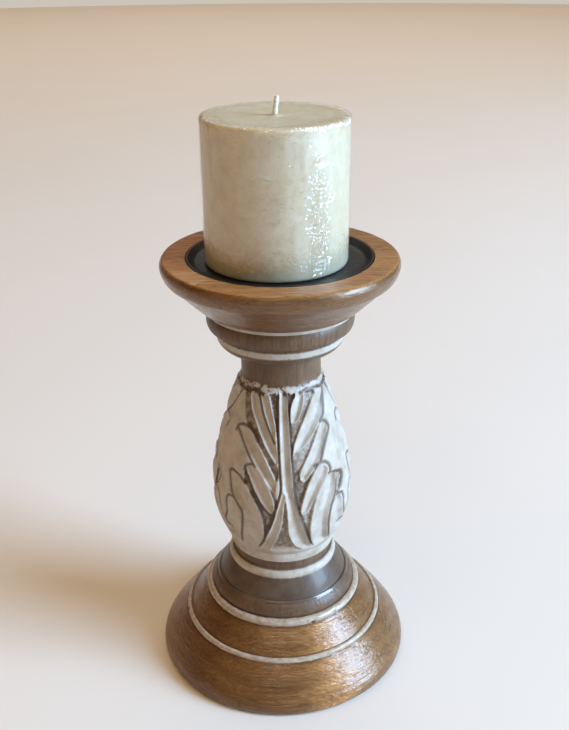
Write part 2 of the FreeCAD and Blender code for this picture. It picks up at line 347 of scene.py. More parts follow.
# ---- materials
def wood_tones(point):
    """Stained wood whose fibres run along the point's first axis: (colour, height, pores)."""
    warp = fed("ShaderNodeTexNoise",
               {"Vector": stretch(point, (0.25, 1.0, 1.0)), "Scale": 1 / 26.0,
                "Detail": 2.0}).outputs[1]
    bent = vector_maths("ADD", point, stretch(warp, (10.0, 9.0, 9.0)))
    streaks = grain(stretch(bent, (0.035, 1.0, 1.0)), 1.7, 4.0, 0.65)
    fibres = grain(stretch(bent, (0.025, 1.0, 1.0)), 0.7, 3.0, 0.6)
    clouds = grain(stretch(bent, (0.3, 1.0, 1.0)), 24.0, 2.0)
    split = fed("ShaderNodeSeparateXYZ", {0: bent}).outputs
    across = plus(split[1], 38.0)
    down = plus(split[2], 55.0)
    reach = maths("SQRT", plus(times(across, across), times(down, down)))
    rings = spread(maths("SINE", times(reach, 0.85)), 0.5, 0.5)
    pores = level(grain(stretch(point, (0.08, 1.0, 1.0)), 0.6, 1.0, 0.5), 0.60, 0.72)
    tone = plus(times(streaks, 0.42), times(clouds, 0.18))
    tone = plus(tone, times(rings, 0.07))
    tone = plus(tone, times(fibres, 0.50))
    colour = ramp(level(tone, 0.40, 0.90), (0.0, (0.095, 0.041, 0.014)),
                  (0.35, (0.185, 0.086, 0.029)), (0.65, (0.260, 0.128, 0.043)),
                  (1.0, (0.39, 0.205, 0.074)))
    colour = mix(times(pores, 0.75), colour, (0.045, 0.018, 0.008))
    height = maths("SUBTRACT", fibres, times(pores, 1.2))
    return colour, height, pores


def painted_wood(name, order):
    """Brown wood with broken cream paint on its ridges and dark staining in its quirks, part of it
    painted shade. 'tone' scales the wood's colour: random variation, a rubbed rim, and painted
    light and shade."""
    made, tree = material(name)
    point = millimetres(tree, order)
    colour, height, pores = wood_tones(point)
    plain = millimetres(tree)
    stain_and_shade = attribute(tree, "stain_and_shade")
    speckle = grain(plain, 1.3, 4.0, 0.7)
    # The tone attribute scales the colour: on the base, a painted highlight at the right front and
    # painted shade at the left front; on the cup, a paler rim top that is partly painted light.
    colour = stretch(colour, attribute(tree, "tone"))
    smudge = level(grain(plain, 21.0, 3.0, 0.6), 0.35, 0.75)
    colour = mix(times(smudge, 0.22), colour, (0.070, 0.032, 0.013))
    # Dark staining in the quirks and pits, with painted shade under the base's bead and in the
    # cup's gap beside the dish.
    stain_and_shade_share = level(plus(stain_and_shade, times(speckle, 0.5)), 0.35, 1.15)
    colour = mix(times(stain_and_shade_share, 0.8), colour, (0.030, 0.016, 0.009))
    edge = plus(attribute(tree, "paint"), spread(speckle, 0.9, -0.45))
    chips = level(grain(plain, 2.4, 5.0, 0.75), 0.655, 0.70)
    painted = times(level(edge, -0.12, 0.16), maths("SUBTRACT", 1.0, times(chips, 0.85)))
    cream = ramp(grain(plain, 3.2, 4.0, 0.65), (0.30, (0.27, 0.205, 0.14)),
                 (0.50, (0.385, 0.325, 0.25)), (0.75, (0.49, 0.44, 0.37)))
    colour = mix(painted, colour, cream)
    wear = grain(plain, 9.0, 3.0, 0.6)
    rough = mix_value(painted, spread(wear, 0.26, 0.34), spread(speckle, 0.25, 0.42))
    rough = plus(rough, times(pores, 0.12))
    lift = plus(times(height, mix_value(painted, 0.5, 0.15)), times(painted, 0.9))
    ripple = bump(grain(plain, 7.0, 2.0, 0.5), 0.35, 0.6)
    normal = bump(lift, 0.12, 0.9, ripple)
    # Turning left fine lines round the disc, which break the sheen of the varnish into dashes.
    lathe = grain(stretch(plain, (0.15, 0.15, 1.0)), 1.7, 2.0, 0.6)
    varnish = bump(plus(lathe, times(speckle, 0.16)), 0.75, 1.0, ripple)
    finish_material(Base_Color=colour, Roughness=rough, Coat_Weight=0.7, Coat_Roughness=0.07,
                    Coat_Normal=varnish, Normal=normal, Specular_IOR_Level=0.8,
                    Specular_Tint=(1.0, 0.52, 0.22, 1.0))
    return made


def whitewashed_wood(name):
    """Carved wood under a rubbed white wash: 'wash' is 1 where it is kept and -1 where it isn't,
    the dark attribute is the glazing left in the cuts together with painted shade on the gouges'
    walls that face away from the light, 'satin' is smooth brown lacquer, and 'gloss' is an edge
    polished by handling."""
    made, tree = material(name)
    point = millimetres(tree, (2, 0, 1))
    wood, height, _ = wood_tones(point)
    plain = millimetres(tree)
    wash, stain_and_shade = attribute(tree, "wash"), attribute(tree, "stain_and_shade")
    satin = attribute(tree, "satin")
    speckle = grain(plain, 1.1, 4.0, 0.7)
    dry_brush = grain(stretch(point, (0.12, 1.0, 1.0)), 0.9, 3.0, 0.7)
    clouds = grain(plain, 9.0, 3.0, 0.6)
    grey_brown = ramp(clouds, (0.35, (0.062, 0.040, 0.026)), (0.7, (0.112, 0.076, 0.051)))
    wood = mix(0.55, wood, grey_brown)
    wood = mix(times(satin, 0.82), wood, grey_brown)
    amount = plus(wash, spread(speckle, 0.9, -0.45))
    amount = plus(amount, spread(dry_brush, 0.8, -0.40))
    covered = level(amount, -0.45, 0.55)
    chalk = ramp(clouds, (0.30, (0.37, 0.30, 0.225)), (0.50, (0.46, 0.395, 0.32)),
                 (0.72, (0.53, 0.475, 0.41)))
    chalk = mix(times(level(dry_brush, 0.55, 0.75), 0.30), chalk, (0.27, 0.185, 0.115))
    colour = mix(covered, wood, chalk)
    # Dark staining in the grounds and cuts, and painted shade on the gouges' walls that face away
    # from the light.
    stain_and_shade_share = level(plus(stain_and_shade, spread(speckle, 0.5, -0.25)), 0.15, 0.95)
    colour = mix(times(stain_and_shade_share, 0.82), colour, (0.080, 0.050, 0.031))
    rough = mix_value(covered, 0.46, spread(speckle, 0.25, 0.46))
    rough = mix_value(satin, rough, spread(clouds, 0.25, 0.30))
    lift = plus(times(height, 0.45), times(dry_brush, 0.35))
    coat = spread(attribute(tree, "gloss"), 0.8, 0.12)
    finish_material(Base_Color=colour, Roughness=rough, Coat_Weight=coat, Coat_Roughness=0.14,
                    Normal=bump(lift, 0.14, 0.8), Specular_IOR_Level=0.35)
    return made


def black_metal():
    """Sheet steel under a fine black powder coat with a little dust and fine pale flecks."""
    made, tree = material("black_metal")
    plain = millimetres(tree)
    fine = grain(plain, 0.55, 3.0, 0.6)
    dust = level(grain(plain, 12.0, 4.0, 0.7), 0.45, 0.8)
    colour = mix(times(dust, 0.35), (0.009, 0.0094, 0.0105), (0.038, 0.038, 0.040))
    colour = mix(times(level(fine, 0.6, 0.8), 0.5), colour, (0.040, 0.041, 0.044))
    rough = spread(dust, 0.22, 0.34)
    finish_material(Base_Color=colour, Roughness=rough, Metallic=0.25,
                    Normal=bump(fine, 0.08, 0.8, bump(grain(plain, 9.0, 2.0), 0.25, 0.5)))
    return made


def candle_material():
    """Ivory wax with pale mottling, darker and greyer towards its foot."""
    made, tree = material("wax")
    plain = millimetres(tree)
    mottle = grain(plain, 7.0, 4.0, 0.6, 0.6)
    frost = level(grain(plain, 2.2, 3.0, 0.6), 0.52, 0.72)
    split = fed("ShaderNodeSeparateXYZ", {0: plain}).outputs
    colour = ramp(mottle, (0.30, (0.465, 0.385, 0.235)), (0.50, (0.52, 0.45, 0.295)),
                  (0.72, (0.565, 0.505, 0.375)))
    colour = mix(times(frost, 0.22), colour, (0.59, 0.535, 0.45))
    foot = level(plus(split[2], times(mottle, 9.0)), FOOT_FADE_TOP, FOOT_FADE_LOW)
    colour = mix(times(foot, 0.45), colour, (0.38, 0.375, 0.29))
    rough = spread(mottle, 0.2, 0.38)
    finish_material(Base_Color=colour, Roughness=rough, Subsurface_Weight=0.75,
                    Subsurface_Scale=0.010, Subsurface_Radius=(1.0, 0.7, 0.45),
                    Normal=bump(mottle, 0.5, 0.4))
    return made


def film_material():
    """Clear shrink film: nearly invisible face on, with sharp highlights where 'crumple' folds
    it. 'gloss' is 0 where it lies wet on the wax and 1 where it stands off."""
    made, tree = material("clear_film")
    plain = millimetres(tree)
    folds = grain(stretch(plain, (1.0, 1.0, 0.8)), 6.5, 1.0, 0.5, 1.8)
    creases = maths("ABSOLUTE", maths("SUBTRACT", folds, 0.5))
    crumple = attribute(tree, "crumple")
    normal = bump(times(creases, crumple), 6.5, 1.0)
    smear = grain(plain, 6.0, 3.0, 0.6)
    gloss = fed("ShaderNodeBsdfAnisotropic",
                {"Color": (1.0, 1.0, 1.0, 1.0), "Normal": normal,
                 "Roughness": spread(smear, 0.08, 0.04)})
    clear = node(tree, "ShaderNodeBsdfTransparent", {"Color": (1.0, 1.0, 1.0, 1.0)})
    facing = fed("ShaderNodeLayerWeight", {"Blend": 0.5, "Normal": normal}).outputs[1]
    grazing = maths("POWER", facing, 4.0)
    share = spread(grazing, 0.30, 0.06)
    share = times(share, attribute(tree, "gloss"))
    both = fed("ShaderNodeMixShader", {0: share, 1: clear.outputs[0], 2: gloss.outputs[0]})
    output(both)
    return made


def cotton():
    made, tree = material("wick_cotton")
    plain = millimetres(tree)
    threads = grain(stretch(plain, (1.0, 1.0, 0.4)), 0.35, 3.0, 0.7)
    colour = ramp(threads, (0.3, (0.62, 0.58, 0.50)), (0.7, (0.88, 0.86, 0.81)))
    finish_material(Base_Color=colour, Roughness=spread(threads, 0.3, 0.45), Subsurface_Weight=0.2,
                    Subsurface_Scale=0.001, Normal=bump(threads, 0.12, 0.9))
    return made


def felt():
    made, tree = material("felt")
    plain = millimetres(tree)
    fluff = grain(plain, 0.8, 5.0, 0.75, 1.5)
    patches = grain(plain, 14.0, 3.0, 0.6)
    colour = mix(patches, (0.016, 0.014, 0.013), (0.045, 0.040, 0.036))
    colour = mix(times(level(fluff, 0.55, 0.8), 0.6), colour, (0.085, 0.078, 0.070))
    finish_material(Base_Color=colour, Roughness=spread(fluff, 0.1, 0.88), Sheen_Weight=0.4,
                    Normal=bump(fluff, 0.5, 1.0))
    return made


def bare_metal(name, dark, light, rough_low):
    made, tree = material(name)
    plain = millimetres(tree)
    scratch = grain(stretch(plain, (1.0, 0.25, 1.0)), 0.4, 4.0, 0.7)
    tarnish = grain(plain, 3.0, 4.0, 0.65)
    colour = mix(tarnish, dark, light)
    finish_material(Base_Color=colour, Metallic=1.0, Roughness=spread(tarnish, 0.3, rough_low),
                    Normal=bump(scratch, 0.03, 0.6))
    return made


# ---- sizes read from the frame
def low_high(name):
    low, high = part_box(name)
    return [v / MM for v in low], [v / MM for v in high]


wax_low, wax_high = low_high("candle_wax")
WAX_FOOT, WAX_TOP, WAX_RADIUS = wax_low[2], wax_high[2], (wax_high[0] - wax_low[0]) / 2
WAX_NUDGE = 0.3
CANDLE_X = (wax_low[0] + wax_high[0]) / 2 - WAX_NUDGE
FOOT_FADE_TOP, FOOT_FADE_LOW = WAX_FOOT + 24.0, WAX_FOOT - 4.0

brown = painted_wood("brown_wood", (0, 1, 2))
carved = whitewashed_wood("carved_wood")
metal = black_metal()
steel = bare_metal("screw_steel", (0.30, 0.29, 0.27), (0.62, 0.60, 0.55), 0.25)
tin = bare_metal("tin", (0.42, 0.42, 0.41), (0.68, 0.68, 0.66), 0.22)
felt_cloth = felt()
wax = candle_material()
film = film_material()
wick_cotton = cotton()

# ---- base
BASE = [
    side(9.0, 1.2), side(74.0, 1.2), bulge(75.4, 2.6, 1.5), side(75.4, 3.4),
    bulge(73.0, 9.6, 13.0), bulge(60.5, 25.4, 105.0), side(59.9, 25.9),
    bulge(57.9, 28.1, 1.75, 1), side(57.2, 27.9), bulge(46.9, 39.9, 90.0), side(46.1, 40.5),
    bulge(44.0, 44.8, 2.45, 1), side(14.0, 44.8), side(14.0, 26.3), side(2.55, 26.3),
    side(2.55, 11.2), side(9.0, 11.2),
]
BASE_COLUMNS = 560
# A corner that turns more degrees than this stays hard.
HARD_TURN, HARD_TURN_SOFT_PIECE = 28, 50
PITS = [
    # degrees from the front, height, reach along the edge and depth of each pit in the paint
    (22.0, 41.8, 1.3, 0.8), (16.5, 42.6, 1.0, 0.6), (40.0, 43.2, 1.1, 0.6),
    (-78.0, 26.8, 1.0, 0.7), (131.0, 42.2, 1.2, 0.7), (-128.0, 27.6, 1.2, 0.6),
    (168.0, 43.0, 0.9, 0.6),
]


def hidden_bore(radius, height):
    return radius < 40 or height < 1.3


def build_base():
    rows, paint, sharp = trace(BASE, 0.62, 4.0, hidden_bore)
    x, y, z, around = turned_grid(rows, BASE_COLUMNS)
    move = 0.16 * noise(x, y, z, 26.0, 11, 2) + 0.05 * noise(x * 0.15, y, z, 1.6, 12, 2)
    move -= 0.10 * smooth(0.45, 0.8, noise(x * 0.08, y, z, 1.1, 13))
    pitted = np.zeros(x.shape)
    for centre, height, reach, depth in PITS:
        across = np.radians(around - centre) * rows[:, :1]
        ragged = 1 + 0.45 * noise(x, y, z, 0.9, 14)
        pitted += depth * np.exp(-((across / 1.4) ** 2 + ((z - height) / 0.8) ** 2)
                                 * ragged / reach ** 2)
    move -= pitted
    outside = (rows[:, :1] > 40) & (rows[:, 1:] > 1.3)
    move = np.where(outside, move, 0)
    # Dark staining in the quirks beside the ring and under the plinth; the wider spot at the
    # bead's lower edge is painted shade under the bead.
    quirks = sum(np.exp(-np.hypot(rows[:, 0] - r, rows[:, 1] - h) / reach)
                 for r, h, reach in ((60.3, 25.6, 0.7), (57.4, 28.0, 0.5), (46.5, 40.4, 1.1),
                                     (44.0, 45.0, 0.55)))
    paint_reach = np.clip(np.broadcast_to(paint[:, None], x.shape), -2, 2)
    paint_reach = paint_reach + 0.25 * noise(x, y, z, 5.0, 15, 2) - 1.6 * (pitted > 0.25)
    stain_and_shade = np.clip(quirks[:, None] * 0.9 + 1.2 * (pitted > 0.2), 0, 1)
    # Painted light in the wood's tone: a painted highlight at the right front where the window's
    # golden sheen falls, and painted shade at the left front.
    tone = 0.82 - 0.24 * np.exp(-((around + 36) / 30) ** 2) + 0.78 * np.exp(
        -((around - 25) / 12) ** 2)
    tone = tone * (1 + 0.14 * noise(x * 0.3, y, z, 9.0, 16, 2))
    turned("base_disc", rows, BASE_COLUMNS, move, "root", brown, ("base",),
           sharp > HARD_TURN, {"paint": paint_reach, "stain_and_shade": stain_and_shade, "tone": tone})


# ---- cup
CUP = [
    side(12.0, 225.6), side(43.8, 225.6), bulge(58.4, 240.0, 400.0), bulge(63.7, 246.6, 9.0),
    bulge(62.8, 251.9, 5.0), bulge(62.2, 252.3, 0.7), side(50.5, 252.3), side(50.1, 251.9),
    side(50.1, 248.2), side(4.75, 248.2), side(2.55, 245.2), side(2.55, 239.1),
    side(12.0, 239.1),
]
CUP_COLUMNS = 512


def hidden_socket(radius, height):
    return radius < 38 or (radius < 49 and height > 247)


def build_cup():
    rows, _, sharp = trace(CUP, 0.7, 4.0, hidden_socket)
    x, y, z, around = turned_grid(rows, CUP_COLUMNS)
    move = 0.14 * noise(x, y, z, 24.0, 21, 2) + 0.05 * noise(x * 0.15, y, z, 1.6, 22, 2)
    move -= 0.10 * smooth(0.45, 0.8, noise(x * 0.08, y, z, 1.1, 23))
    # A small chip in the rim's outer edge, and softer dents along it.
    near_edge = np.exp(-np.hypot(rows[:, :1] - 63.0, rows[:, 1:] - 252.0) / 1.2)
    move -= near_edge * 0.9 * np.exp(-((around + 42.5) / 1.6) ** 2)
    move -= near_edge * 0.25 * smooth(0.2, 0.9, noise(x, y, z * 0, 7.0, 24, 2))
    outside = (rows[:, :1] > 42) & ((rows[:, 1:] < 247) | (rows[:, :1] > 52))
    move = np.where(outside, move, 0)
    # Painted shade: a dark line on the rim's inner wall, in the gap beside the dish.
    stain_and_shade = 0.55 * np.exp(-np.hypot(rows[:, :1] - 50.1, rows[:, 1:] - 250.0) / 1.0)
    # The rim's top is paler, partly rubbed and partly painted light on the face that looks up,
    # with more painted light towards the left; the rest of the cup, the cone's underside included,
    # stays darker.
    tone = 0.66 + (1.14 + 0.36 * smooth(-10, 60, -x)) * smooth(251.2, 252.2, rows[:, 1:])
    turned("cup_disc", rows, CUP_COLUMNS, move, "root", brown, ("cup",),
           sharp > HARD_TURN, {"paint": UNPAINTED, "stain_and_shade": stain_and_shade, "tone": tone})


# ---- spindle
SPINDLE = [
    side(0.0, 26.8), side(14.0, 26.8), side(14.0, 44.8), side(43.3, 44.8), side(43.3, 46.0),
    bulge(39.9, 52.0, 12.0), bulge(38.9, 53.3, 1.3), side(38.2, 53.0), bulge(32.0, 64.3, 60.0),
    bulge(30.2, 68.6, 3.4, 1), side(29.2, 69.4), side(29.2, 75.0), side(30.6, 75.0),
    bulge(31.5, 81.0, 12.0, 1), bulge(41.1, 112.0, 55.0, 1), bulge(35.5, 147.6, 112.0, 1),
    bulge(25.3, 180.0, 240.0, 1), hollow(22.2, 186.0, 12.0, 1), side(22.2, 197.4),
    hollow(28.6, 201.4, 6.0), bulge(35.0, 206.2, 8.0), side(35.0, 209.8, 1),
    side(35.0, 210.8),
    hollow(39.6, 213.8, 7.0), bulge(39.6, 222.4, 10.0), side(40.3, 222.4, 1),
    side(40.3, 225.6, 1), side(12.0, 225.6), side(12.0, 238.6), side(0.0, 238.6),
]
SPINDLE_COLUMNS = 540
CARVED_LOW, CARVED_HIGH = 82.0, 187.0
# Heights between which each treatment fades in and out again.
KNIFE_WORK = (83.5, 89.0, 181.5, 184.0)
PLINTH_BAND = (45.8, 47.0, 51.0, 52.4)
COLLAR_BEAD = (211.5, 213.5, 221.5, 222.4)
DARK_BAND = (44.9, 45.4, 52.6, 53.4)
LACQUER = (51.6, 52.2, 63.5, 64.6)
POLISHED_LEDGE = (51.4, 52.0, 53.4, 54.4)
WORN_PAINT = (205.5, 206.5, 210.5, 211.5)
LEAVES, LEAF_REACH = 3, 76
# The standard deviation of the carver's hand from one leaf to the next, in millimetres.
LEAF_WOBBLE = 0.45

# The carving of one acanthus leaf, drawn on the unrolled body: each point is degrees from the
# middle of the leaf and height. A lobe is a gouged hollow between two edges that run from its
# root to its tip: (edge, edge, share of the width from the first edge to the deepest line,
# depth, brown glazing mixed with painted shade on the wall beyond that line, which faces away from
# the light).
LOBES = [
    ([(8, 167), (9, 171), (12, 176), (18, 180.5)],
     [(8, 166), (14, 166), (20, 169), (26, 175), (30, 180.5)], 0.68, 1.7, 0.10),
    ([(10, 150), (12, 155), (18, 162), (28, 170), (38, 176), (45, 178.5), (60, 178.5)],
     [(11, 150), (20, 152), (28, 156), (38, 161), (45, 165), (52, 169), (61, 177)],
     0.70, 2.3, 0.12),
    ([(15, 139), (20, 144), (28, 151), (36, 158), (44, 163), (49, 162.5)],
     [(16, 134), (20, 134), (28, 139), (35, 143), (42, 149), (48, 155), (52, 160)],
     0.70, 2.1, 0.12),
    ([(14.5, 116), (16, 121), (20, 129), (24, 134), (30, 139), (37, 140.5)],
     [(16, 113), (21, 115), (26, 121), (32, 127), (38, 132), (42, 137)], 0.70, 2.0, 0.12),
    ([(31, 84), (27, 90), (24, 97), (23, 105), (25, 115), (29, 124), (36, 130), (42, 134)],
     [(50, 86), (44, 95), (41, 102), (41, 108), (43, 114), (48, 121), (50, 128), (51, 133)],
     0.72, 2.4, 0.12),
    ([(52, 85), (45, 94), (42, 101), (42, 107), (44, 113), (49, 118)],
     [(69, 92), (62, 101), (59, 106), (57, 112), (54, 117)], 0.70, 1.9, 0.12),
    ([(-8, 157), (-15, 166), (-22, 174), (-28, 180.5)],
     [(-6, 164), (-10, 172), (-15, 180.5)], 0.25, 1.3, 0.05),
    ([(-5, 144), (-12, 150), (-20, 158), (-28, 166), (-34, 171), (-40, 180)],
     [(-2, 148), (-6, 155), (-12, 162), (-20, 171), (-30, 180.5)], 0.24, 1.9, 0.05),
    ([(-6, 127), (-15, 135), (-23, 142), (-30, 147), (-40, 155), (-47, 160)],
     [(-5, 135), (-15, 147), (-24, 155), (-30, 160), (-40, 162), (-47, 161)], 0.22, 1.9, 0.05),
    ([(-9, 114.5), (-15, 119), (-22, 127), (-29, 136), (-32, 141)],
     [(-6, 118), (-8, 125), (-12, 133), (-20, 141), (-26, 142.5)], 0.24, 1.9, 0.05),
    ([(-41, 86), (-37, 95), (-34, 103), (-33, 112), (-36, 115.5), (-42, 121), (-45, 128),
      (-47, 135)],
     [(-25, 85), (-17, 94), (-15, 102), (-16, 111), (-20, 119), (-26, 126), (-32, 131),
      (-38, 134.5), (-46, 136)], 0.30, 2.0, 0.05),
    ([(-58, 94), (-54, 102), (-50, 108), (-50, 115), (-48, 119)],
     [(-42, 86), (-38, 93), (-34, 104), (-34, 112), (-38, 116.5), (-42, 119)],
     0.30, 1.7, 0.05),
    # the stem and the two legs it splits into
    ([(-1, 184), (-3, 180), (-1.6, 160), (0, 140), (0.5, 130), (3, 126)],
     [(8, 184), (8, 180), (7.5, 160), (8, 140), (9, 128), (10, 122)], 0.36, 1.8, 0.42),
    ([(3, 128), (3.4, 120), (4, 112), (4.5, 103), (7, 96), (12, 89), (20, 85)],
     [(9.4, 125), (13, 115), (17, 106), (21, 98), (26, 90), (31, 85)], 0.50, 2.1, 0.42),
    ([(0, 128), (-4, 118), (-8, 108), (-11, 102), (-15, 95), (-23, 86)],
     [(2.4, 127), (1, 118), (-1.5, 105), (-7, 93), (-12, 85.5)], 0.30, 1.6, 0.20),
]
# Grounds are cut back roughly between the lobes and stained: (outline, depth, darkness).
GROUNDS = [
    ([(8, 181), (8, 167), (9, 171), (12, 176), (18, 181)], 1.7, 0.85),
    ([(30, 181), (26, 175), (20, 169), (14, 166), (8, 166), (8.6, 158), (10, 150), (12, 155),
      (18, 162), (28, 170), (38, 176), (45, 178.5), (45, 181)], 1.4, 0.62),
    ([(11, 150), (20, 152), (28, 156), (38, 161), (44, 164.5), (44, 163), (36, 158), (28, 151),
      (20, 144), (15, 139), (9, 140)], 1.5, 0.60),
    ([(9, 140), (15, 139), (16, 134), (20, 134), (28, 139), (34, 142.5), (30, 139), (24, 134),
      (20, 129), (16, 121), (14.5, 116), (10, 122)], 1.9, 0.75),
    ([(14.5, 116), (16, 113), (21, 115), (26, 121), (32, 127), (37, 131), (36, 130), (29, 124),
      (25, 115), (23, 105), (24, 97), (27, 90), (31, 85), (26, 90), (21, 98), (17, 106),
      (13, 115)], 1.7, 0.55),
    ([(51, 133), (58, 131), (59, 128), (55, 122), (50, 119), (49, 126)], 1.3, 0.50),
    ([(-4, 181), (-3, 160), (-2, 150), (-6, 164), (-10, 172), (-15, 179), (-16, 181)],
     1.6, 0.85),
    ([(-53, 181), (-42, 181), (-40, 178), (-34, 171), (-28, 166), (-20, 158), (-12, 150),
      (-5, 144), (-3, 140), (-5, 135), (-15, 147), (-24, 155), (-30, 160), (-41, 166)],
     1.6, 0.70),
    ([(-24, 142.5), (-15, 135), (-6, 127), (-3.5, 120), (-6, 118), (-8, 125), (-12, 133),
      (-20, 141)], 1.5, 0.6),
    ([(-32, 141), (-29, 136), (-22, 127), (-15, 119), (-9, 114.5), (-6, 118), (-6, 112),
      (-11.5, 102), (-16, 95), (-23, 87), (-25, 86), (-17, 94), (-15, 102), (-16, 111),
      (-20, 119), (-26, 126), (-33, 131)], 1.6, 0.70),
    ([(1.6, 124), (1, 118), (-1.5, 105), (-7, 93), (-12, 85.5), (20, 85), (12, 89), (7, 96),
      (4.5, 103), (4, 112), (3.2, 120)], 1.9, 0.62),
]
# Fine V cuts follow the outsides of the lobes: (line, half width, depth).
CUTS = [
    ([(63, 180), (52, 168.6), (45, 164.6)], 1.2, 1.1),
    ([(44, 164), (50, 162.6), (53.4, 160), (52.5, 157.5), (46, 153), (40, 147.5),
      (35, 142)], 1.1, 1.1),
    ([(30, 141), (38, 141.8), (43, 139.8), (44.6, 136.5), (43, 133.8)], 1.2, 1.1),
    ([(42, 134.4), (52, 133), (58, 131.4), (59.4, 128), (55.5, 122)], 1.0, 1.1),
    ([(50.6, 128), (48.4, 121), (43.4, 114), (41.4, 108), (41.4, 102), (44.4, 95),
      (51, 86)], 1.0, 1.3),
    ([(49, 118.6), (56, 118), (59, 114), (60, 108), (63, 102), (69, 94)], 1.1, 1.1),
    ([(9, 181), (8.6, 160), (9, 140), (10, 128), (11, 121), (14, 114), (18, 105), (22, 97),
      (26.6, 90), (31, 85)], 0.9, 1.6),
    ([(-4.2, 181), (-3.6, 160), (-2, 140), (-1.2, 130), (-5, 119), (-9.4, 108), (-12.4, 102),
      (-17, 94), (-24, 86)], 0.9, 1.5),
    ([(-29, 180.6), (-20.5, 171), (-12.5, 162), (-7, 156)], 0.9, 1.3),
    ([(-50, 158.5), (-47.8, 161.6), (-40, 163), (-30, 161), (-24, 156)], 1.1, 1.0),
    ([(-48, 160), (-40, 154.4), (-30, 146.4), (-24, 141.8)], 1.0, 1.0),
    ([(-26, 143), (-32, 141.8), (-33.4, 139), (-29.6, 135.6), (-22.4, 126.6), (-15.4, 118.6),
      (-9, 113.8)], 1.0, 1.2),
    ([(-32, 131.4), (-38, 134.8), (-48, 136), (-46.2, 128), (-43, 121), (-36.6, 115.6),
      (-33.6, 112), (-34.6, 103), (-37.6, 95), (-42, 86)], 1.1, 1.2),
    ([(-26, 126.6), (-19.6, 119), (-15.4, 111), (-14.4, 102), (-16.4, 94), (-24, 86)], 1.0, 1.4),
    ([(-59, 94), (-54.8, 102), (-50.8, 108), (-51, 115), (-48.6, 119.6), (-42, 119.8)], 1.1, 1.1),
    ([(-60, 180.6), (-45, 181.4), (-32, 181.9), (-24, 180.8)], 0.9, 0.7),
    ([(24, 181.0), (34, 182.0), (48, 181.8), (62, 180.6)], 0.9, 0.8),
]


def body_radius(heights):
    """The turned radius of the body at each height, before it is carved."""
    rows = trace(SPINDLE, 0.5)[0]
    body = rows[(rows[:, 1] > 80) & (rows[:, 1] < 190) & (rows[:, 0] > 20)]
    order = np.argsort(body[:, 1])
    return np.interp(heights, body[order, 1], body[order, 0])


def unrolled(points):
    """Design points (degrees, height) as millimetres around the body and height."""
    points = np.array(points, float)
    return np.stack([np.radians(points[:, 0]) * body_radius(points[:, 1]), points[:, 1]], 1)


def line_distance(u, v, line):
    """Distance from each (u, v) to a line of points."""
    nearest = np.full(u.shape, 1e9)
    for (au, av), (bu, bv) in zip(line[:-1], line[1:]):
        du, dv = bu - au, bv - av
        share = np.clip(((u - au) * du + (v - av) * dv) / (du * du + dv * dv + 1e-12), 0, 1)
        nearest = np.minimum(nearest, np.hypot(u - au - share * du, v - av - share * dv))
    return nearest


def inside_of(u, v, outline):
    """True for each (u, v) inside a closed outline."""
    found = np.zeros(u.shape, bool)
    for (au, av), (bu, bv) in zip(outline, np.roll(outline, -1, 0)):
        crosses = (av > v) != (bv > v)
        at = au + (v - av) * (bu - au) / (bv - av if bv != av else 1e-12)
        found ^= crosses & (u < at)
    return found


def smoothed(line, pieces=4):
    """A line of points rounded through its own corners by a Catmull-Rom curve."""
    padded = np.vstack([2 * line[0] - line[1], line, 2 * line[-1] - line[-2]])
    t = (np.arange(pieces) / pieces)[:, None]
    out = []
    for p0, p1, p2, p3 in zip(padded, padded[1:], padded[2:], padded[3:]):
        out.append(0.5 * (2 * p1 + (p2 - p0) * t + (2 * p0 - 5 * p1 + 4 * p2 - p3) * t ** 2
                          + (3 * p1 - p0 - 3 * p2 + p3) * t ** 3))
    return np.vstack(out + [line[-1:]])


def carve_leaf(u, v, wobble):
    """Depth, ground darkness, cut staining, and wall glazing with painted shade of one leaf, over
    unrolled points.
    """
    depth = np.zeros(u.shape)
    in_lobe = np.zeros(u.shape, bool)
    ground = np.zeros(u.shape)
    glaze_and_shade = np.zeros(u.shape)
    for first, second, deepest, deep, far_wall_glaze_and_shade in LOBES:
        shift = wobble()
        first, second = (smoothed(unrolled(edge) + shift) for edge in (first, second))
        inside = inside_of(u, v, np.vstack([first, second[::-1]])) & ~in_lobe
        a, b = line_distance(u, v, first), line_distance(u, v, second)
        width = a + b
        across = a / np.maximum(width, 1e-6)
        t = np.where(across < deepest, across / deepest, (1 - across) / (1 - deepest))
        gouge = np.minimum(deep, width * 0.30) * (1 - (1 - t) ** 1.4)
        depth = np.where(inside, gouge, depth)
        beyond = smooth(deepest - 0.06, deepest + 0.10, across)
        # The wall beyond the deepest line gets brown glazing mixed with painted shade, as it faces
        # away from the light, and the floor near the deepest line gets painted shade.
        glaze_and_shade = np.where(inside, far_wall_glaze_and_shade * beyond + 0.16 * smooth(0.8, 1.0, t), glaze_and_shade)
        in_lobe |= inside
    for outline, deep, dark in GROUNDS:
        outline = smoothed(unrolled(outline + outline[:1]))
        inside = inside_of(u, v, outline) & ~in_lobe
        rim = line_distance(u, v, outline)
        depth = np.where(inside, np.maximum(depth, deep * smooth(0, 0.9, rim + 0.25)), depth)
        ground = np.where(inside, dark, ground)
    cut = np.zeros(u.shape)
    for line, half_width, deep in CUTS:
        away = line_distance(u, v, smoothed(unrolled(line)))
        depth = np.maximum(depth, deep * np.clip(1 - away / half_width, 0, 1))
        cut = np.maximum(cut, np.clip(1.15 - away / (half_width + 0.45), 0, 1))
    return depth, ground, cut, glaze_and_shade


